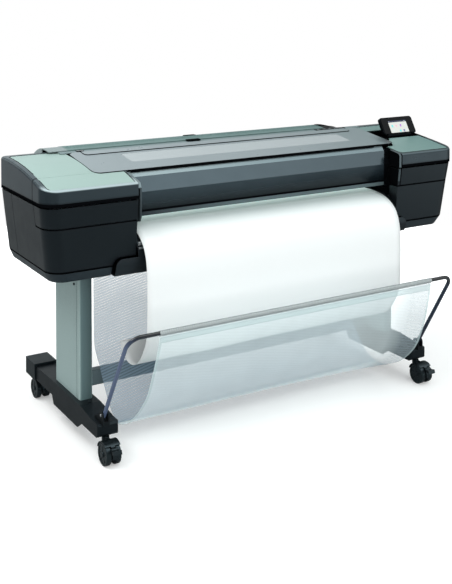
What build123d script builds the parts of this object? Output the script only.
from build123d import *
import math
import os

# Large format plotter, 44 inch class, on its stand with a catch basket.  Millimetres.
# X runs along the machine (+X to the operator's right), Y to the back, Z up, floor at Z = 0.
# Everything is laid out about the stand, then shifted by Y_SHIFT on saving so that the
# origin lies on the floor under the middle of the whole machine.
# A side is -1 for left and +1 for right.

os.makedirs("parts", exist_ok=True)

# ---------------------------------------------------------------- driving dimensions
Y_SHIFT = 121.5
SIDES = ((-1, "left"), (1, "right"))
RUN = 0.05                 # running clearance, radial

# left and right modules
BODY_HALF_W = 898.5
X_IN_L = -559.0            # inner face of the left module
X_IN_R = 597.0             # inner face of the right module
Y_FRONT = -343.0           # front face of both modules at the top
Y_REAR = 95.0
Z_SKIRT = 606.0            # underside of the body
Z_SEAM1 = 645.0            # seam between skirt and lower cover
Z_SEAM2 = 794.0            # seam between lower and middle cover
Z_GAP = 863.0              # top of the middle cover
Z_LID = 868.5              # lower edge of the top covers
SEAM = 1.2                 # half width and depth of the seams
R_FRONT = 55.0             # outer front corner radius, plan
R_BACK = 22.0              # outer rear corner radius, plan
WALL = 3.0                 # moulded wall thickness
CREASE_Y = -235.0          # split between fixed top cover and hinged ink cover
SIDE_SEAM_Y = -20.0        # upright seam near the rear of each side
CHEEK_SLOT = (607.5, 612.5)  # x of the upright shadow slot beside the right module's inner cheek
PASSAGE_Y = (-140, 80)     # opening for the chassis

# side view of each module's top: three (y, z) points on an arc
TOP_ARC_L = ((Y_REAR, 979.0), (-124.0, 969.0), (Y_FRONT, 922.0))
TOP_ARC_R = ((Y_REAR, 977.0), (-143.0, 953.5), (Y_FRONT, 922.0))

# taper of the modules: (z, half width) and (z, y of the front face)
X_OUT = ((1000, BODY_HALF_W), (Z_LID, BODY_HALF_W), (Z_GAP, 895.5), (Z_SEAM2, 888.0),
         (Z_SEAM1, 870.0), (Z_SKIRT, 852.0))
Y_OUT = ((1000, Y_FRONT), (Z_LID, Y_FRONT), (Z_GAP, -341.0), (Z_SEAM2, -332.5),
         (Z_SEAM1, -320.0), (Z_SKIRT, -302.0))

# media, output deck and roll
PAPER_X = (-546.0, 572.0)  # 1118 mm wide media
PAPER_T = 0.5
NOSE_X = (-642.0, 638.0)   # output deck nose, wider than the gap between the modules
NOSE_Z = 668.0
ROLL_Y, ROLL_Z, ROLL_R = 178.0, 868.0, 62.0

# stand
COL_X = (658.0, 708.0)     # columns
COL_Y = (-180.0, 41.0)
COL_MID_X = sum(COL_X) / 2
FOOT_X = (646.0, 723.5)
FOOT_TOP = 145.0

# basket
PIVOT_Y, PIVOT_Z = -352.0, 158.0      # rod pivot
PIN_R = 3.0
ROD_X, ROD_Y, ROD_Z, ROD_R = 694.0, -537.0, 470.0, 7.0
ROD_BEND = 46.0

# casters
CASTER_X = 687.0
CASTER_R = 37.5
TRAIL = 32.0               # axle to swivel axis
CASTER_FRONT_Y = -345.0    # swivel axes
CASTER_REAR_Y = 222.0
STEM_R = 5.5


# ---------------------------------------------------------------- helpers
def box(x0, x1, y0, y1, z0, z1):
    middle = Pos((x0 + x1) / 2, (y0 + y1) / 2, (z0 + z1) / 2)
    return middle * Box(abs(x1 - x0), abs(y1 - y0), abs(z1 - z0))


def cyl_x(y, z, r, x0, x1):
    return Pos((x0 + x1) / 2, y, z) * Rot(0, 90, 0) * Cylinder(r, abs(x1 - x0))


def cyl_z(x, y, r, z0, z1):
    return Pos(x, y, (z0 + z1) / 2) * Cylinder(r, abs(z1 - z0))


def yz_face(points, x):
    return make_face(Polyline(*[(x, y, z) for y, z in points], close=True))


def prism(points, x0, x1):
    """Polygon of (y, z) points, extruded along X."""
    return extrude(yz_face(points, x0), x1 - x0, dir=(1, 0, 0))


def normals(path):
    """Unit normals to the left of an open path of (y, z) points."""
    out = []
    for i in range(len(path)):
        before = path[max(i - 1, 0)]
        after = path[min(i + 1, len(path) - 1)]
        dy, dz = after[0] - before[0], after[1] - before[1]
        length = math.hypot(dy, dz)
        out.append((-dz / length, dy / length))
    return out


def band(path, t_right, t_left, x0, x1):
    """Thin sheet that follows a (y, z) path, with a thickness to each side of it."""
    pairs = list(zip(path, normals(path)))
    left = [(y + ny * t_left, z + nz * t_left) for (y, z), (ny, nz) in pairs]
    right = [(y - ny * t_right, z - nz * t_right) for (y, z), (ny, nz) in pairs]
    return prism(left + right[::-1], x0, x1)


def smooth(points, steps=4):
    """Catmull-Rom curve through (y, z) points, sampled steps times a span."""
    out = []
    for i in range(len(points) - 1):
        p0 = points[max(i - 1, 0)]
        p1, p2 = points[i], points[i + 1]
        p3 = points[min(i + 2, len(points) - 1)]
        for k in range(steps):
            t = k / steps
            out.append(tuple(
                0.5 * (2 * b + (c - a) * t
                       + (2 * a - 5 * b + 4 * c - d) * t * t
                       + (3 * b - a - 3 * c + d) * t ** 3)
                for a, b, c, d in zip(p0, p1, p2, p3)))
    out.append(points[-1])
    return out


def side_span(side, near, far, middle=0.0):
    """Ascending x range from near to far, measured from middle towards a side."""
    return tuple(sorted((middle + side * near, middle + side * far)))


def inset(area, gap):
    x0, x1, y0, y1 = area
    return x0 + gap, x1 - gap, y0 + gap, y1 - gap


def soften(shape, edges, r):
    """Fillet that falls back to a smaller radius where the kernel refuses the full one."""
    for k in (1.0, 0.6, 0.3):
        try:
            return fillet(edges, r * k)
        except Exception:
            continue
    return shape


def both(piece):
    return [piece(-1), piece(1)]


def save(shape, name):
    """Writes one node; a list is a group of separate pieces."""
    shift = Pos(0, Y_SHIFT, 0)
    if isinstance(shape, list):
        moved = Compound([shift * solid for piece in shape for solid in piece.solids()])
    else:
        moved = shift * shape
    export_step(moved, f"parts/{name}.step")


# ---------------------------------------------------------------- stand
FOOT_TIP_Y = -364
# (y, z) outlines, counted from the rear end
FOOT_OUTLINE = [
    (290, 90), (290, 138), (205, 140), (60, FOOT_TOP), (-215, FOOT_TOP), (-326, 132),
    (-356, 132), (FOOT_TIP_Y, 126), (FOOT_TIP_Y, 96), (-352, 86), (-228, 86), (-190, 60),
    (28, 60), (45, 90)]
FOOT_HOLLOW = [(180, 40), (180, 132), (60, 138), (-205, 138), (-300, 126), (-300, 40)]


def foot(side):
    x0, x1 = side_span(side, *FOOT_X)
    body = prism(FOOT_OUTLINE, x0, x1)
    tip = [e for e in body.edges()
           if abs(e.center().Y - FOOT_TIP_Y) < 1 and abs(e.length - 30) < 1]
    body = soften(body, tip, 9)
    body -= prism(FOOT_HOLLOW, x0 + 4, x1 - 4)
    body -= cyl_z(side * CASTER_X, CASTER_FRONT_Y, STEM_R + RUN, 60, 122.5)
    body -= cyl_z(side * CASTER_X, CASTER_REAR_Y, STEM_R + RUN, 60, 126)
    # notch under the basket rod bracket
    body -= box(side * ROD_X - 13, side * ROD_X + 13, -380, -335.5, 124.5, 140)
    return body


def foot_cap(side):
    x0, x1 = side_span(side, FOOT_X[0] - 6, FOOT_X[1] + 6)
    cap = box(x0, x1, 205.5, 303.5, 88.5, 150)
    cap = soften(cap, cap.edges().filter_by(Axis.Z).sort_by(Axis.Y)[-2:], 5)
    return cap - box(x0 + 5.5, x1 - 5.5, 150, 290.5, 60, 141)


def column(side):
    x0, x1 = side_span(side, *COL_X)
    front_y, back_y = COL_Y
    body = box(x0, x1, front_y, back_y, FOOT_TOP, 639.5)
    body = fillet([e for e in body.edges().filter_by(Axis.Z) if e.center().Y < -100], 11)
    back = [e for e in body.edges().filter_by(Axis.Z) if e.center().Y > back_y - 0.5]
    body = soften(body, back, 4)
    body -= box(x0 + 3, x1 - 3, front_y + 12, back_y - 3, FOOT_TOP + 6, 634)
    # shadow groove between the front trim and the flat side
    for x in (x0, x1):
        body -= box(x - 1.2, x + 1.2, front_y + 26, front_y + 28.5, FOOT_TOP + 1, 639)
    return body


def cross_beam():
    end_x = FOOT_X[0] - 0.1
    y0, y1, z0, z1 = -58.0, -22.0, 134.0, 190.0
    tube = box(-end_x, end_x, y0, y1, z0, z1)
    tube = fillet(tube.edges().filter_by(Axis.X), 5)
    return tube - box(-end_x, end_x, y0 + 3, y1 - 3, z0 + 3, z1 - 3)


def stand_bolts(side):
    """Hardware on one side of the stand, as a list of pieces."""
    pieces = []
    outer_x = side * COL_X[1]
    for z in (545.0, 585.0):
        bolt = cyl_x(-135.0, z, 4.5, outer_x, outer_x + side * 3.0)
        pieces.append(bolt - cyl_x(-135.0, z, 2.0, outer_x + side * 1.2, outer_x + side * 4))
    # foot to column clamp screws, heads on the foot
    for y in (-205.0, 70.0):
        head = cyl_z(side * COL_MID_X, y, 6.0, FOOT_TOP, FOOT_TOP + 4.0)
        pieces.append(head - cyl_z(side * COL_MID_X, y, 3.0, FOOT_TOP + 1.6, FOOT_TOP + 6))
    # knob on the column's inner face
    inner_x = side * COL_X[0]
    pieces.append(cyl_x(-150.0, 575.0, 8.0, inner_x, inner_x - side * 9.0))
    return pieces


def hinge_bracket(side):
    x = side * ROD_X
    y0, y1 = -366, -336
    bracket = box(x - 12.5, x + 12.5, y0, y1, 124.5, 138)
    for s in (-1, 1):
        ear_x = side_span(s, 7.7, 12.5, x)
        ear = box(*ear_x, y0, y1, 130, PIVOT_Z)
        ear += cyl_x(PIVOT_Y + 1, PIVOT_Z, 14.0, *ear_x)
        bracket += ear
    bracket += cyl_x(PIVOT_Y, PIVOT_Z, PIN_R, x - 13, x + 13)
    # heels that brace the ears on the foot
    heel = [(y1, 132.5), (-300, 135.6), (-300, 139), (y1, 158)]
    for s in (-1, 1):
        bracket += prism(heel, *side_span(s, 8.5, 12.5, x))
    return bracket


for side, tag in SIDES:
    save(foot(side), f"foot_{tag}")
    save(column(side), f"column_{tag}")
save(both(foot_cap), "foot_caps")
save(cross_beam(), "cross_beam")
save(stand_bolts(-1) + stand_bolts(1), "stand_bolts")
save(both(hinge_bracket), "basket_hinge_brackets")

# ---------------------------------------------------------------- casters
# Twin wheel casters.  The axle lies TRAIL from the stem, towards the front (-1) or back (+1).
WEB = 7.2                  # half thickness of the web between the wheels
AXLE_R = 4.0
BRAKE_PIN_R = 2.5
BRAKE_AT = (48.0, 33)      # brake pivot, polar about the axle


def wheel_frame(stem_y, toward):
    """Axle y, and a function for polar points about it: 0 deg away from the stem, 90 up."""
    axle_y = stem_y + toward * TRAIL

    def at(r, deg):
        a = math.radians(deg)
        return axle_y + toward * r * math.cos(a), CASTER_R + r * math.sin(a)

    return axle_y, at


def caster_hood(x, stem_y, toward):
    axle_y, at = wheel_frame(stem_y, toward)
    web_x = (x - WEB, x + WEB)
    arch = [at(43.0, a) for a in range(52, 166, 6)] + [at(39.6, a) for a in range(160, 51, -6)]
    hood = prism(arch, x - 27.5, x + 27.5)
    web = [at(42.9, a) for a in range(-10, 200, 10)] + [at(16, 250), at(16, 300)]
    hood += prism(web, *web_x)
    hood += cyl_z(x, stem_y, 13.0, 54, 82.5)
    hood += cyl_z(x, stem_y, STEM_R, 80, 122)
    gusset = [(stem_y, 54), (stem_y, 80.5), (axle_y + toward * 4, 80.4), (axle_y, 44)]
    hood += prism(gusset, *web_x)
    hood -= cyl_x(axle_y, CASTER_R, AXLE_R + RUN, x - 20, x + 20)
    # clear the wheels out of everything but the web
    for s in (-1, 1):
        hood -= cyl_x(axle_y, CASTER_R, 39.6, x + s * WEB, x + s * 30)
    brake = at(*BRAKE_AT)
    lug = [at(40, 20), at(48, 24), at(50, 40), at(40, 50)]
    hood += cyl_x(*brake, 6.0, *web_x) + prism(lug, *web_x)
    return hood - cyl_x(*brake, BRAKE_PIN_R + RUN, x - 20, x + 20)


def caster_wheels(x, stem_y, toward):
    axle = (stem_y + toward * TRAIL, CASTER_R)
    wheels = cyl_x(*axle, AXLE_R, x - 26, x + 26)
    for s in (-1, 1):
        face = x + s * 27.0
        wheel = cyl_x(*axle, CASTER_R, x + s * 8.2, face)
        wheel = soften(wheel, wheel.edges().filter_by(GeomType.CIRCLE), 3)
        recess = (face, face - s * 2.0)
        wheel -= cyl_x(*axle, 30.0, *recess) - cyl_x(*axle, 11.0, *recess)
        wheels += wheel
    return wheels


def caster_brake(x, stem_y, toward):
    axle_y, at = wheel_frame(stem_y, toward)
    pivot = at(*BRAKE_AT)
    lever = cyl_x(*pivot, BRAKE_PIN_R, x - 13, x + 13)
    for s in (-1, 1):
        arm_x = side_span(s, 7.6, 13.0, x)
        lever += cyl_x(*pivot, 5.5, *arm_x)
        lever += prism([at(45.5, 27), at(45.5, 39), at(66, 27), at(66, 17)], *arm_x)
    lever += prism([at(56.5, 20), at(57.5, 30), at(68, 27), at(67, 15)], x - 16, x + 16)
    # clear of both wheels
    lever -= cyl_x(axle_y, CASTER_R, 38.2, x - 20, x - 7.3)
    return lever - cyl_x(axle_y, CASTER_R, 38.2, x + 7.3, x + 20)


for end, stem_y, toward in (("front", CASTER_FRONT_Y, -1), ("rear", CASTER_REAR_Y, 1)):
    for side, tag in SIDES:
        place = (side * CASTER_X, stem_y, toward)
        save(caster_hood(*place), f"caster_hood_{end}_{tag}")
        save(caster_wheels(*place), f"caster_wheels_{end}_{tag}")
        if end == "front":
            save(caster_brake(*place), f"caster_brake_{end}_{tag}")

# ---------------------------------------------------------------- catch basket
SHEET_X = (-583.0, 582.0)
SHEET_HALF_T = 0.6
# (y, z) side views, the rear sheet from its top down and the flap from its bottom up
REAR_SHEET = smooth([
    (-14, 604), (-14, 480), (-14, 350), (-16, 275), (-35, 237), (-60, 208), (-84, 176),
    (-104, 146), (-127, 117), (-158, 85), (-190, 67), (-228, 58)])
FLAP = smooth([
    (-231, 57.5), (-262, 66), (-300, 87), (-355, 131), (-400, 178), (-437, 226), (-466, 283),
    (-492, 340), (-516, 396), (-535, 445), (-540.2, 462.0)])


def basket_rod():
    """U-shaped rod leaning forward; its ends run a little past the pivots."""
    lean = math.hypot(ROD_Y - PIVOT_Y, ROD_Z - PIVOT_Z)
    uy, uz = (ROD_Y - PIVOT_Y) / lean, (ROD_Z - PIVOT_Z) / lean
    end = (PIVOT_Y - uy * 9.0, PIVOT_Z - uz * 9.0)
    path = FilletPolyline((-ROD_X, *end), (-ROD_X, ROD_Y, ROD_Z), (ROD_X, ROD_Y, ROD_Z),
                          (ROD_X, *end), radius=ROD_BEND)
    start = Plane(origin=(-ROD_X, *end), z_dir=(0, uy, uz))
    rod = sweep(start * Circle(ROD_R), path=path)
    for side in (-1, 1):
        rod -= cyl_x(PIVOT_Y, PIVOT_Z, PIN_R + RUN, side * ROD_X - 10, side * ROD_X + 10)
    return rod


def front_flap():
    flap = band(FLAP, SHEET_HALF_T, SHEET_HALF_T, *SHEET_X)
    # sleeve around the rod
    flap += cyl_x(ROD_Y, ROD_Z, 9.5, *SHEET_X)
    return flap - cyl_x(ROD_Y, ROD_Z, ROD_R + 0.3, SHEET_X[0] - 5, SHEET_X[1] + 5)


save(basket_rod(), "basket_rod")
save(band(REAR_SHEET, SHEET_HALF_T, SHEET_HALF_T, *SHEET_X), "basket_rear_sheet")
save(front_flap(), "basket_front_flap")

# ---------------------------------------------------------------- chassis
CHASSIS_X = 860            # half length
CHASSIS_Y = (-130, 70)
CHASSIS_Z = 640
SHEET = 4                  # thickness of the upright plates
PULLEY_X, PULLEY_Y = 838, -28
PULLEY_R = 14.0
SHAFT_R = 3.0


def main_chassis():
    y0, y1 = CHASSIS_Y
    body = box(-CHASSIS_X, CHASSIS_X, y0, y1, CHASSIS_Z, 645)
    body += box(-CHASSIS_X, CHASSIS_X, y1 - SHEET, y1, CHASSIS_Z, 752)
    body += box(-CHASSIS_X, CHASSIS_X, y0, y0 + SHEET, CHASSIS_Z, 720)
    end = [(y0, CHASSIS_Z), (y1, CHASSIS_Z), (y1, 900), (40, 925), (-110, 925), (y0, 900)]
    for s in (-1, 1):
        body += prism(end, *side_span(s, CHASSIS_X - SHEET, CHASSIS_X))
    # shelf that carries the idler pulley
    body += box(-856.5, -818, -48, -8, 880, 904)
    body -= cyl_z(-PULLEY_X, PULLEY_Y, SHAFT_R + RUN, 860, 930)
    for s in (-1, 1):
        for y in (-110, 10):
            body -= cyl_z(s * COL_MID_X, y, 5.0, 630, 650)
    # rear opening for the power socket and switch
    return body - box(738, 802, 60, 75, 688, 760)


save(main_chassis(), "main_chassis")


# ---------------------------------------------------------------- module shapes
def circle_through(a, b, c):
    """Centre and radius of the circle through three (y, z) points."""
    (ay, az), (by, bz), (cy, cz) = a, b, c
    a2, b2, c2 = (y * y + z * z for y, z in (a, b, c))
    d = 2 * (ay * (bz - cz) + by * (cz - az) + cy * (az - bz))
    y = (a2 * (bz - cz) + b2 * (cz - az) + c2 * (az - bz)) / d
    z = (a2 * (cy - by) + b2 * (ay - cy) + c2 * (by - ay)) / d
    return y, z, math.hypot(ay - y, az - z)


ARCS = {-1: circle_through(*TOP_ARC_L), 1: circle_through(*TOP_ARC_R)}


def top_z(side, y, drop):
    centre_y, centre_z, r = ARCS[side]
    return centre_z + math.sqrt((r - drop) ** 2 - (y - centre_y) ** 2)


def under_arc(side, drop):
    """Everything below a module's top surface, lowered by drop."""
    x, floor = -1000.0, 560.0
    rear, middle, front = ((x, y, top_z(side, y, drop)) for y in (130.0, -124.0, -380.0))
    edge = ThreePointArc(rear, middle, front)
    rest = Polyline(front, (x, front[1], floor), (x, rear[1], floor), rear)
    return extrude(make_face(Curve() + [edge, rest]), -2 * x, dir=(1, 0, 0))


def interpolate(table, z):
    """Value at height z in a table of (z, value) with falling z."""
    for (z0, v0), (z1, v1) in zip(table, table[1:]):
        if z1 <= z <= z0:
            return v0 + (v1 - v0) * (z0 - z) / (z0 - z1)
    return table[0][1] if z > table[0][0] else table[-1][1]


def inner_x(side):
    return X_IN_R if side > 0 else X_IN_L


def section(side, z, t=0.0, t_in=0.0):
    """Plan section of a module at height z, drawn in by t, and by t_in at its inner face."""
    xi = inner_x(side) + side * t_in
    xo = side * (interpolate(X_OUT, z) - t)
    yf = interpolate(Y_OUT, z) + t
    yr = Y_REAR - t
    plan = Pos((xo + xi) / 2, (yf + yr) / 2) * Rectangle(abs(xo - xi), yr - yf)
    for y, r in ((yf, R_FRONT), (yr, R_BACK)):
        corner = [v for v in plan.vertices() if abs(v.X - xo) < 0.01 and abs(v.Y - y) < 0.01]
        plan = fillet(corner, r - t)
    return Pos(0, 0, z) * plan


def tub(side, z0, z1, t=0.0, t_in=0.0):
    return loft([section(side, z0, t, t_in), section(side, z1, t, t_in)], ruled=True)


def side_window(side):
    """Opening in a module's inner wall for the carriage and the print path."""
    x = inner_x(side)
    return box(x - 20, x + 20, -285.0, 60.0, 690.0, 945.0)


def nose_outline(gap, r):
    """Block with the output deck nose's front view, grown by gap."""
    x0, x1 = NOSE_X
    middle_z = 616
    view = Pos((x0 + x1) / 2, middle_z) * RectangleRounded(
        x1 - x0 + 2 * gap, 2 * (NOSE_Z + gap - middle_z), r)
    return Pos(0, -236, 0) * extrude(Plane.XZ * view, 190)


NOSE_CUT = nose_outline(3.5, 30)


def cover(side, z0, z1):
    """Open ring of module wall between two heights."""
    ring = tub(side, z0, z1) - tub(side, z0, z1, WALL, WALL)
    ring -= side_window(side)
    # the chassis passes here
    x = inner_x(side)
    ring -= (box(x - 20, x + 20, *PASSAGE_Y, 600, 700)
             + box(x - 20, x + 20, 58, PASSAGE_Y[1], 600, 765))
    return ring


def middle_ring(side):
    return cover(side, Z_SEAM2 - SEAM, Z_GAP)


def front_zone(gap):
    """Front part of the middle ring, with a rounded lower rear corner, drawn in by gap."""
    y1, z0 = CREASE_Y - gap, Z_SEAM2 + gap
    view = Pos((y1 - 460) / 2, (z0 + 900) / 2) * RectangleRounded(y1 + 460, 900 - z0, 13)
    return Pos(-1000, 0, 0) * extrude(Plane.YZ * view, 2000)


# ---------------------------------------------------------------- lower module covers
def middle_cover(side):
    piece = middle_ring(side) & front_zone(2.0)
    if side > 0:
        slot_back = interpolate(Y_OUT, 830) + 2.0
        piece -= box(*CHEEK_SLOT, -350, slot_back, Z_SEAM2 + 5, Z_GAP + 1)
    return piece


def lower_cover(side):
    """Lower ring, joined with the part of the middle ring behind the middle cover."""
    piece = cover(side, Z_SEAM1 + SEAM, Z_SEAM2 - SEAM) - NOSE_CUT
    piece += middle_ring(side) - front_zone(-0.8)
    # upright seam groove: z range of the cutter, then of the skin it follows
    for cut_z, skin_z in (((Z_SEAM1, Z_SEAM2), (Z_SEAM1 + SEAM, Z_SEAM2)),
                          ((Z_SEAM2 - 0.1, Z_GAP + 1), (Z_SEAM2 - 0.1, Z_GAP))):
        cutter = box(side * 840, side * 900, SIDE_SEAM_Y - SEAM, SIDE_SEAM_Y + SEAM, *cut_z)
        piece -= cutter & (tub(side, *skin_z) - tub(side, *skin_z, SEAM))
    if side > 0:
        # rear opening for the power socket and switch
        piece -= box(740, 800, 80, 110, 690, 745)
    return piece


def skirt(side):
    body = tub(side, Z_SKIRT, Z_SEAM1 - 2 * SEAM)
    bottom = [e for e in body.edges()
              if abs(e.center().Z - Z_SKIRT) < 0.1 and abs(e.center().X - inner_x(side)) > 5]
    body = soften(body, bottom, 16)
    hollow = loft([section(side, Z_SKIRT, WALL + 13, WALL),
                   section(side, Z_SEAM1 + 1, WALL, WALL)], ruled=True)
    hollow = hollow & box(-1000, 1000, -500, 200, Z_SKIRT + WALL, 700)
    body = body - hollow - NOSE_CUT
    # the column passes here
    body -= box(side * (COL_X[0] - 2), side * (COL_X[1] + 2),
                COL_Y[0] - 2, COL_Y[1] + 2, 590, 660)
    body -= box(side * 540, side * 612, *PASSAGE_Y, Z_SKIRT + WALL + 20, 700)
    return body


for side, tag in SIDES:
    save(middle_cover(side), f"{tag}_middle_cover")
    save(lower_cover(side), f"{tag}_lower_cover")
save(both(skirt), "side_skirts")

# ---------------------------------------------------------------- window opening
WIN_X = (-675.0, 660.0)
WIN_Y = (-243.0, 2.0)
WIN_Z = (949.0, 984.0)     # top face at the front and at the rear edge
WIN_SLOPE = (WIN_Z[1] - WIN_Z[0]) / (WIN_Y[1] - WIN_Y[0])


def footprint(x0, x1, y0, y1, r):
    """Tall block with a rounded plan, through the whole height of the top."""
    z0, z1 = 880.0, 1010.0
    plan = Pos((x0 + x1) / 2, (y0 + y1) / 2) * RectangleRounded(x1 - x0, y1 - y0, r)
    return Pos(0, 0, z0) * extrude(plan, z1 - z0)


def window_z(y):
    return WIN_Z[0] + (y - WIN_Y[0]) * WIN_SLOPE


def under_window(drop):
    """Space below the window cover's top face, lowered by drop."""
    return prism([(-300, window_z(-300) - drop), (60, window_z(60) - drop),
                  (60, 850), (-300, 850)], -800, 800)


WIN_HOLE = footprint(WIN_X[0] - 2.5, WIN_X[1] + 2.5, WIN_Y[0] - 2.5, WIN_Y[1] + 25, 30)

# ---------------------------------------------------------------- top covers
PANEL_DEPTH = 2.2
PANELS = {-1: (-880.0, -566.0, -331.0, 56.0),   # x0, x1, y0, y1
          1: (613.0, 874.0, -331.0, 56.0)}
TRAY = (668.0, 885.0, -150.0, -28.0)            # holds the touch screen's foot
SCR_Y, SCR_Z = -124.0, 957.0                    # tilt axis of the touch screen
SCR_PIN_R = 2.5


def top_shell(side):
    outer = extrude(section(side, Z_LID), 140) & under_arc(side, 0.0)
    rim = [e for e in outer.edges()
           if e.center().Z > 905 and abs(e.center().X - inner_x(side)) > 3]
    outer = soften(outer, rim, 11)
    inner = extrude(section(side, Z_LID, WALL, WALL), 140)
    inner = Pos(0, 0, -5) * inner & under_arc(side, WALL)
    return outer - inner - side_window(side) - WIN_HOLE


def panel(side, gap, low, high):
    """Slab that follows the curved top, between two depths below it."""
    x0, x1, y0, y1 = inset(PANELS[side], gap)
    layer = under_arc(side, high) - under_arc(side, low)
    slab = footprint(x0, x1, y0, y1, 20 - gap) & layer
    if side < 0:
        # squarer corners at the end towards the window cover
        slab += footprint(-640.0, x1, y0, y1, 4 - gap) & layer
    return slab


def pocketed_top(side):
    return top_shell(side) - panel(side, 0, PANEL_DEPTH, -10)


def panel_plate(side):
    return panel(side, 0.6, PANEL_DEPTH - 0.05, 0.2) - WIN_HOLE


def right_plate():
    x0, x1, y0, y1 = TRAY
    plate = panel_plate(1) - box(x0 - 6, x1 + 0.5, y0 - 0.5, y1 + 0.5, 900, 1010)
    # the tray tapers forward beside the window cover; (x, y) plan
    toe = [(655.0, -149.0), (709.0, -149.0), (692.0, -172.0), (655.0, -190.0)]
    return plate - Pos(0, 0, 900) * extrude(make_face(Polyline(*toe, close=True)), 110)


def right_top_cover():
    top = pocketed_top(1)
    x0, x1, y0, y1 = TRAY
    top += box(x0 - 2, x1 + 2, y0 - 2, y1 + 2, 936, 975) & under_arc(1, PANEL_DEPTH)
    top -= box(*TRAY, 938, 1010)
    top -= WIN_HOLE
    top -= box(*CHEEK_SLOT, -350, Y_FRONT + 2.0, Z_LID - 1, 918)
    # ears for the touch screen's pin
    for a, b in ((720.0, 726.0), (852.0, 858.0)):
        ear = box(a, b, -132, -116, 937, SCR_Z) + cyl_x(SCR_Y, SCR_Z, 5.5, a, b)
        top += ear - cyl_x(SCR_Y, SCR_Z, SCR_PIN_R + RUN, a - 1, b + 1)
    return top


left_top = pocketed_top(-1)
left_plate = panel_plate(-1)
front_half = box(-1000, 0, -500, CREASE_Y - 0.8, 800, 1100)
rear_half = box(-1000, 0, CREASE_Y + 0.8, 300, 800, 1100)
save(left_top & rear_half, "left_top_cover")
save(left_top & front_half, "ink_cover")
save(left_plate & front_half, "ink_cover_panel")
save(right_top_cover(), "right_top_cover")
save([left_plate & rear_half, right_plate()], "top_panels")

# ---------------------------------------------------------------- touch screen
# Flat housing leaning back, on a pin at its lower edge; drawn upright about its centre.
SCR_X = (707.0, 883.0)
SCR_W, SCR_T, SCR_H = SCR_X[1] - SCR_X[0], 14, 79
SCR_TILT = 30.0
SCREEN_AT = (Pos(sum(SCR_X) / 2, SCR_Y, SCR_Z) * Rot(-SCR_TILT, 0, 0)
             * Pos(0, 0, SCR_H / 2 + 2))
GLASS_AT = Pos(0, -7.2, 0.5)


def screen_housing():
    body = Box(SCR_W, SCR_T, SCR_H)
    body = soften(body, body.edges().filter_by(Axis.Y), 12)
    body = soften(body, [e for e in body.edges() if e.center().Y < -6.9], 1.5)
    recess = Box(SCR_W - 8.6, 2.5, 70.4)
    body -= GLASS_AT * fillet(recess.edges().filter_by(Axis.Y), 8.2)
    body = SCREEN_AT * body
    pin = cyl_x(SCR_Y, SCR_Z, SCR_PIN_R, 718, 860)
    body += pin + cyl_x(SCR_Y, SCR_Z, 5.0, 727, 851)
    # clear the ears, leaving the pin
    for a, b in ((719.0, 726.6), (851.4, 859.0)):
        body -= (cyl_x(SCR_Y, SCR_Z, 11.0, a, b)
                 - cyl_x(SCR_Y, SCR_Z, SCR_PIN_R, a - 1, b + 1))
    return body


def screen_glass():
    glass = GLASS_AT * Box(SCR_W - 9, 2.4, 70)
    return SCREEN_AT * soften(glass, glass.edges().filter_by(Axis.Y), 8)


save(screen_housing(), "touchscreen_housing")
save(screen_glass(), "touchscreen_glass")

# ---------------------------------------------------------------- window cover
PANE = (-492.0, 500.0, -160.0, -62.0)   # x0, x1, y0, y1


def window_cover():
    slab = footprint(*WIN_X, *WIN_Y, 28) & (under_window(0.0) - under_window(5.0))
    slab -= footprint(*PANE, 14) & (under_window(-5.0) - under_window(2.6))
    slab -= footprint(*inset(PANE, 7), 10)
    # raised rib in front of the hinge line, with a groove around it
    x0, x1, y0, y1 = -622, 590, -42, 1.5
    rib_area = footprint(x0, x1, y0, 40, 14)
    rib = prism([(y0, window_z(y0) - 1), (y0, window_z(y0) + 2.6),
                 (y1, window_z(y1) + 1.2), (y1, window_z(y1) - 1)], x0, x1)
    slab += rib & rib_area
    groove = footprint(x0 - 2.5, x1 + 2.5, y0 - 2.5, 40, 16.5) - rib_area
    slab -= groove - under_window(2.4) - box(-700, 700, 1.6, 60, 900, 1010)
    # turned-down front lip
    slab += box(WIN_X[0] + 137, WIN_X[1] - 110, WIN_Y[0], WIN_Y[0] + 3,
                WIN_Z[0] - 10, WIN_Z[0] - 2)
    return slab


save(window_cover(), "window_cover")
save(footprint(*inset(PANE, 0.4), 13.6) & (under_window(0.1) - under_window(2.55)),
     "window_pane")

# ---------------------------------------------------------------- front beam and output deck
# (y, z) side views
BEAM_OUTER = [(-236, 941), (-250, 924), (-288, 877), (-258, 801), (-250, 784)]
BEAM_INNER = [(-247.2, 784.6), (-255.2, 802.2), (-284.6, 876.6), (-247, 921.5), (-232, 938.0)]
FLANGE_OUTER = [(-238, 943), (-330, 921.5), (-340, 905), (-340, 803), (-332, 790), (-250, 784)]
DECK = smooth([
    (-166, 756), (-200, 755.6), (-232, 753.0), (-262, 747.0), (-290, 736.0), (-312, 719),
    (-327, 697), (-335, 668), (-336, 640), (-326, 612)])


def front_beam():
    x0, x1 = -545.5, X_IN_R - 0.5
    beam = prism(BEAM_OUTER + BEAM_INNER, x0, x1)
    beam += prism([(-257.5, 800.5), (-222, 800.5), (-222, 804), (-258, 804)], x0, x1)
    # end flange beside the left module
    flange = prism(FLANGE_OUTER + BEAM_INNER, X_IN_L + 1.5, x0)
    flange -= box(-558, -551.5, -345, -322, 780, 903)
    return beam + flange


def output_deck():
    deck = band(DECK, 3.0, 0.0, X_IN_L + 2, X_IN_R - 2)
    nose = band(DECK, 3.0, 0.0, *NOSE_X)
    nose += prism([(-326, 610), (-328, 613), (-240, 613), (-240, 610)], *NOSE_X)
    return deck + (nose & nose_outline(0, 27))


save(front_beam(), "front_beam")
save(output_deck(), "output_deck")

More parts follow.
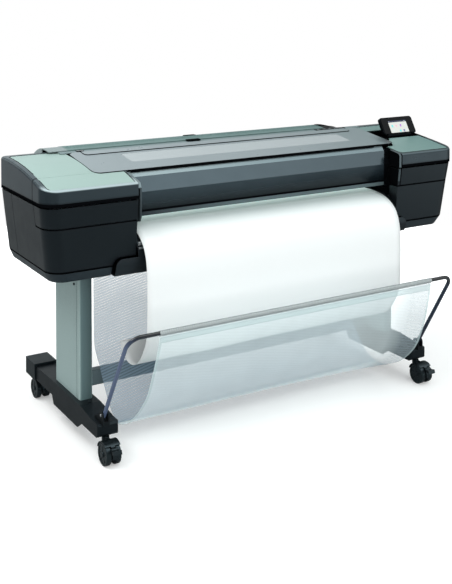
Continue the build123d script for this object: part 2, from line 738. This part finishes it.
# ---------------------------------------------------------------- paper
# (y, z) from the top... of travel at the roll, over the platen and deck, into the basket
PAPER_PATH = smooth([
    (178.0, 805.4), (140, 803), (80, 785), (20, 767), (-20, 760.6), (-45, 760.1),
    (-100, 760.1), (-160, 760.3), (-200, 760.3), (-236, 758.0), (-269.5, 752.4),
    (-302, 742.3), (-330.5, 725.4), (-353, 701.8), (-367.5, 672), (-375, 640), (-379, 600),
    (-380, 540), (-379, 470), (-376, 410), (-361, 366), (-333, 320), (-300, 286),
    (-266, 270), (-230, 268), (-200, 282), (-180, 300), (-168, 325)], steps=5)
save(band(PAPER_PATH, PAPER_T / 2, PAPER_T / 2, *PAPER_X), "paper_sheet")

# ---------------------------------------------------------------- print engine
ROLLER = (-45, 745.6)      # (y, z) axes
PINCH = (-45, 768.9)
JOURNAL_R = 6.0
PINCH_PIN_R = 3.0
RAIL_X = 855.9             # half length
RAIL_Y = (-92, -52)
RAIL_Z = (835, 905)
CAR_X = (630.0, 810.0)
HEAD_X = [CAR_X[0] + 33 + i * 38 for i in range(4)]


def platen():
    x0, x1 = -575, 613
    body = box(x0, x1, -164, -62, 742, 759.4)
    body -= box(-555, 593, -158, -68, 735, 755)
    # bearing plates at the ends
    for a, b in ((x0, x0 + 9), (x1 - 9, x1)):
        body += box(a, b, -72, -18, 722, 790)
    body -= cyl_x(*ROLLER, JOURNAL_R + RUN, -600, 640)
    return body - cyl_x(*PINCH, PINCH_PIN_R + RUN, -600, 640)


def drive_roller():
    roller = cyl_x(*ROLLER, 13.9, -560, 598) + cyl_x(*ROLLER, JOURNAL_R, -582, 622)
    return roller + cyl_x(*ROLLER, 26.0, 622, 630)


def pinch_rollers():
    rollers = cyl_x(*PINCH, PINCH_PIN_R, -580, 618)
    for i in range(9):
        x = -500 + i * 128.0
        rollers += cyl_x(*PINCH, 8.2, x - 20, x + 20)
    return rollers


def carriage_rail():
    (y0, y1), (z0, z1) = RAIL_Y, RAIL_Z
    return (box(-RAIL_X, RAIL_X, y0, y1, z0, z1)
            - box(-850, 850, y0 + 6, y1 - 6, z0 + 6, z1 - 6))


def carriage():
    """Open tray in front of the rail, hooked over its top and back."""
    x0, x1 = CAR_X
    back, top = -45.2, 925
    body = box(x0, x1, -215, RAIL_Y[0] - RUN, 775, top)
    body += box(x0, x1, -93, back, RAIL_Z[1] + RUN, top)
    body += box(x0, x1, RAIL_Y[1] + RUN, back, 885, top)
    body -= box(x0 + 6, x1 - 6, -209, -99, 790, top)
    return body - box(x0 + 14, x1 - 14, -201, -107, 770, 795)


def belt_loop(r, z0, z1):
    loop = box(-PULLEY_X, PULLEY_X, PULLEY_Y - r, PULLEY_Y + r, z0, z1)
    for x in (-PULLEY_X, PULLEY_X):
        loop += cyl_z(x, PULLEY_Y, r, z0, z1)
    return loop


def pulley(x, shaft_z):
    return (cyl_z(x, PULLEY_Y, PULLEY_R, 908, 918)
            + cyl_z(x, PULLEY_Y, SHAFT_R, shaft_z, 920))


def carriage_motor():
    return (cyl_z(PULLEY_X, PULLEY_Y, 17.9, 850, 906)
            - cyl_z(PULLEY_X, PULLEY_Y, SHAFT_R + RUN, 875, 910))


def ink_cartridge(x):
    body = box(x, x + 50, -314, -246, 700, 858)
    return soften(body, body.edges().filter_by(Axis.Z), 4)


def service_station():
    station = box(640, 800, -205, -100, 730, 760)
    # one open cap under each printhead
    for x in HEAD_X:
        station += (box(x - 13, x + 13, -193, -115, 755, 767.5)
                    - box(x - 11, x + 11, -191, -117, 762, 770))
    return station


def electronics_box():
    body = box(640, 840, -40, 60, 660, 735) - box(643, 837, -37, 57, 663, 732)
    back = 91.5
    body += box(745, 795, 60, back, 693, 742) - box(748, 792, 50, back - 3, 696, 739)
    # mains inlet with three pins
    body += box(750, 778, 74, back, 696, 718) - box(752, 776, 78, 100, 698, 716)
    for x in (758, 764, 770):
        body += box(x - 1, x + 1, 76, 89, 705, 711)
    body -= box(752, 776, 78.1, 100, 698, 704.9)
    # switch opening
    return body - box(752, 772, 70, 100, 721, 737)


SWITCH_VIEW = [(84, 723), (93.4, 723), (92.0, 729), (94.6, 735), (84, 735)]   # (y, z)

save(platen(), "platen")
save(drive_roller(), "drive_roller")
save(pinch_rollers(), "pinch_rollers")
save(carriage_rail(), "carriage_rail")
save(carriage(), "carriage")
save([box(x - 14, x + 14, -195, -113, 768, 850) for x in HEAD_X], "printheads")
save(belt_loop(15.5, 909, 917) - belt_loop(14.1, 900, 920), "drive_belt")
save(pulley(PULLEY_X, 880), "motor_pulley")
save(pulley(-PULLEY_X, 885), "idler_pulley")
save(carriage_motor(), "carriage_motor")
save(box(-540, -500, -243, -223, 764, 800.3) - box(-536, -504, -239, -227, 770, 790), "cutter")
save([ink_cartridge(-845 + i * 56.0) for i in range(5)], "ink_cartridges")
save(service_station(), "service_station")
save(electronics_box(), "electronics_box")
save(prism(SWITCH_VIEW, 753, 771), "power_switch")

# ---------------------------------------------------------------- roll unit at the back
HOOD_X = 735.0             # half length of the roll housing
HOOD_STEP = (530.0, X_IN_R)  # the hood's right end steps down between these
HOOD_Z = 864               # lower edge of the hood
HOOD_FRONT = 98.5          # front of the hood's end walls
STEP_DROP = 9.0
# (y, z) side views from the front edge to the lower rear edge
HOOD = smooth([
    (34, 985.5), (60, 988.5), (90, 989.5), (125, 985), (165, 969), (203, 944), (235, 911),
    (254, 880), (259.5, HOOD_Z)])
LOW_HOOD = smooth([
    (HOOD_FRONT, 962), (130, 962), (165, 952), (203, 932), (235, 904), (254, 878),
    (259.5, HOOD_Z)])


def fade(z):
    """Share of the drop at height z: none at the lower edge, all of it 100 mm up."""
    return min(1.0, max(0.0, (z - HOOD_Z) / 100))


def hood_face(x, drop):
    """Section of the hood at x, with its top lowered by drop."""
    inner, outer = [
        [(y + ny * t, z + nz * t - drop * fade(z)) for (y, z), (ny, nz) in
         zip(HOOD, normals(HOOD))]
        for t in (0.0, WALL)]
    return yz_face(inner + outer[::-1], x)


def roll_cover():
    corner = [(HOOD_FRONT, HOOD_Z)]
    step_x = HOOD_STEP[1] - WALL
    hood = band(HOOD, 0.0, WALL, -HOOD_X, HOOD_STEP[0])
    left_end = [(98, 986)] + [p for p in HOOD if p[0] > 98] + corner
    hood += prism(left_end, -HOOD_X, -HOOD_X + WALL)
    hood += loft([hood_face(HOOD_STEP[0], 0.0), hood_face(step_x, STEP_DROP)], ruled=True)
    hood += band(LOW_HOOD, 0.0, WALL, step_x, HOOD_X)
    hood += prism(LOW_HOOD + corner, HOOD_X - WALL, HOOD_X)
    # wall that closes the step
    upper = [(y + 0.4, z - STEP_DROP * fade(z)) for y, z in HOOD if y > HOOD_FRONT]
    return hood + prism([(HOOD_FRONT, 979)] + upper + LOW_HOOD[::-1], step_x, HOOD_STEP[1])


def rear_cover():
    outer = [(98, 861), (98, 612), (190, 640), (245, 720), (262, 800), (262, 861)]
    inner = [(101, 900), (101, 616), (188.5, 643), (242, 721), (259, 800.5), (259, 900)]
    body = prism(outer, -HOOD_X, HOOD_X) - prism(inner, -HOOD_X + WALL, HOOD_X - WALL)
    # paper passes forward over this wall
    body -= box(X_IN_L + 4, X_IN_R - 4, 90, 110, 756, 900)
    # floor between the modules, with an upturned rear edge
    body += box(X_IN_L + 2, X_IN_R - 2, -304, 99, 606, 609)
    return body + box(X_IN_L + 2, X_IN_R - 2, 95.5, 99, 606, 640)


def top_bridge():
    bridge = prism([(6, 980), (30, 982.5), (30, 985.5), (6, 983)], X_IN_L - 140, X_IN_R + 86)
    return bridge + prism([(26, 984), (30, 984), (30, 940), (26, 940)], X_IN_L + 2, X_IN_R - 2)


def spindle():
    """Shaft with a hub and a flange at each end of the media."""
    shaft = cyl_x(ROLL_Y, ROLL_Z, 12.5, -690, 700)
    for side, edge, hub_x in ((-1, PAPER_X[0], (-560, -500)), (1, PAPER_X[1], (530, 590))):
        shaft += cyl_x(ROLL_Y, ROLL_Z, 25.2, *hub_x)
        shaft += cyl_x(ROLL_Y, ROLL_Z, 68.0, edge + side * 1, edge + side * 14)
    return shaft


def media_roll():
    return (cyl_x(ROLL_Y, ROLL_Z, ROLL_R, *PAPER_X)
            - cyl_x(ROLL_Y, ROLL_Z, 25.4, PAPER_X[0] - 1, PAPER_X[1] + 1))


def roll_support(side):
    a, b = side_span(side, 640.0, 652.0)
    plate = prism([(104, 625), (185, 648), (200, 840), (200, 885), (156, 885), (156, 840),
                   (104, 800)], a, b)
    return plate - cyl_x(ROLL_Y, ROLL_Z, 12.5 + RUN, a - 1, b + 1)


save(roll_cover(), "roll_cover")
save(rear_cover(), "rear_cover")
save(top_bridge(), "top_bridge")
save(spindle(), "spindle")
save(media_roll(), "media_roll")
save(both(roll_support), "roll_supports")
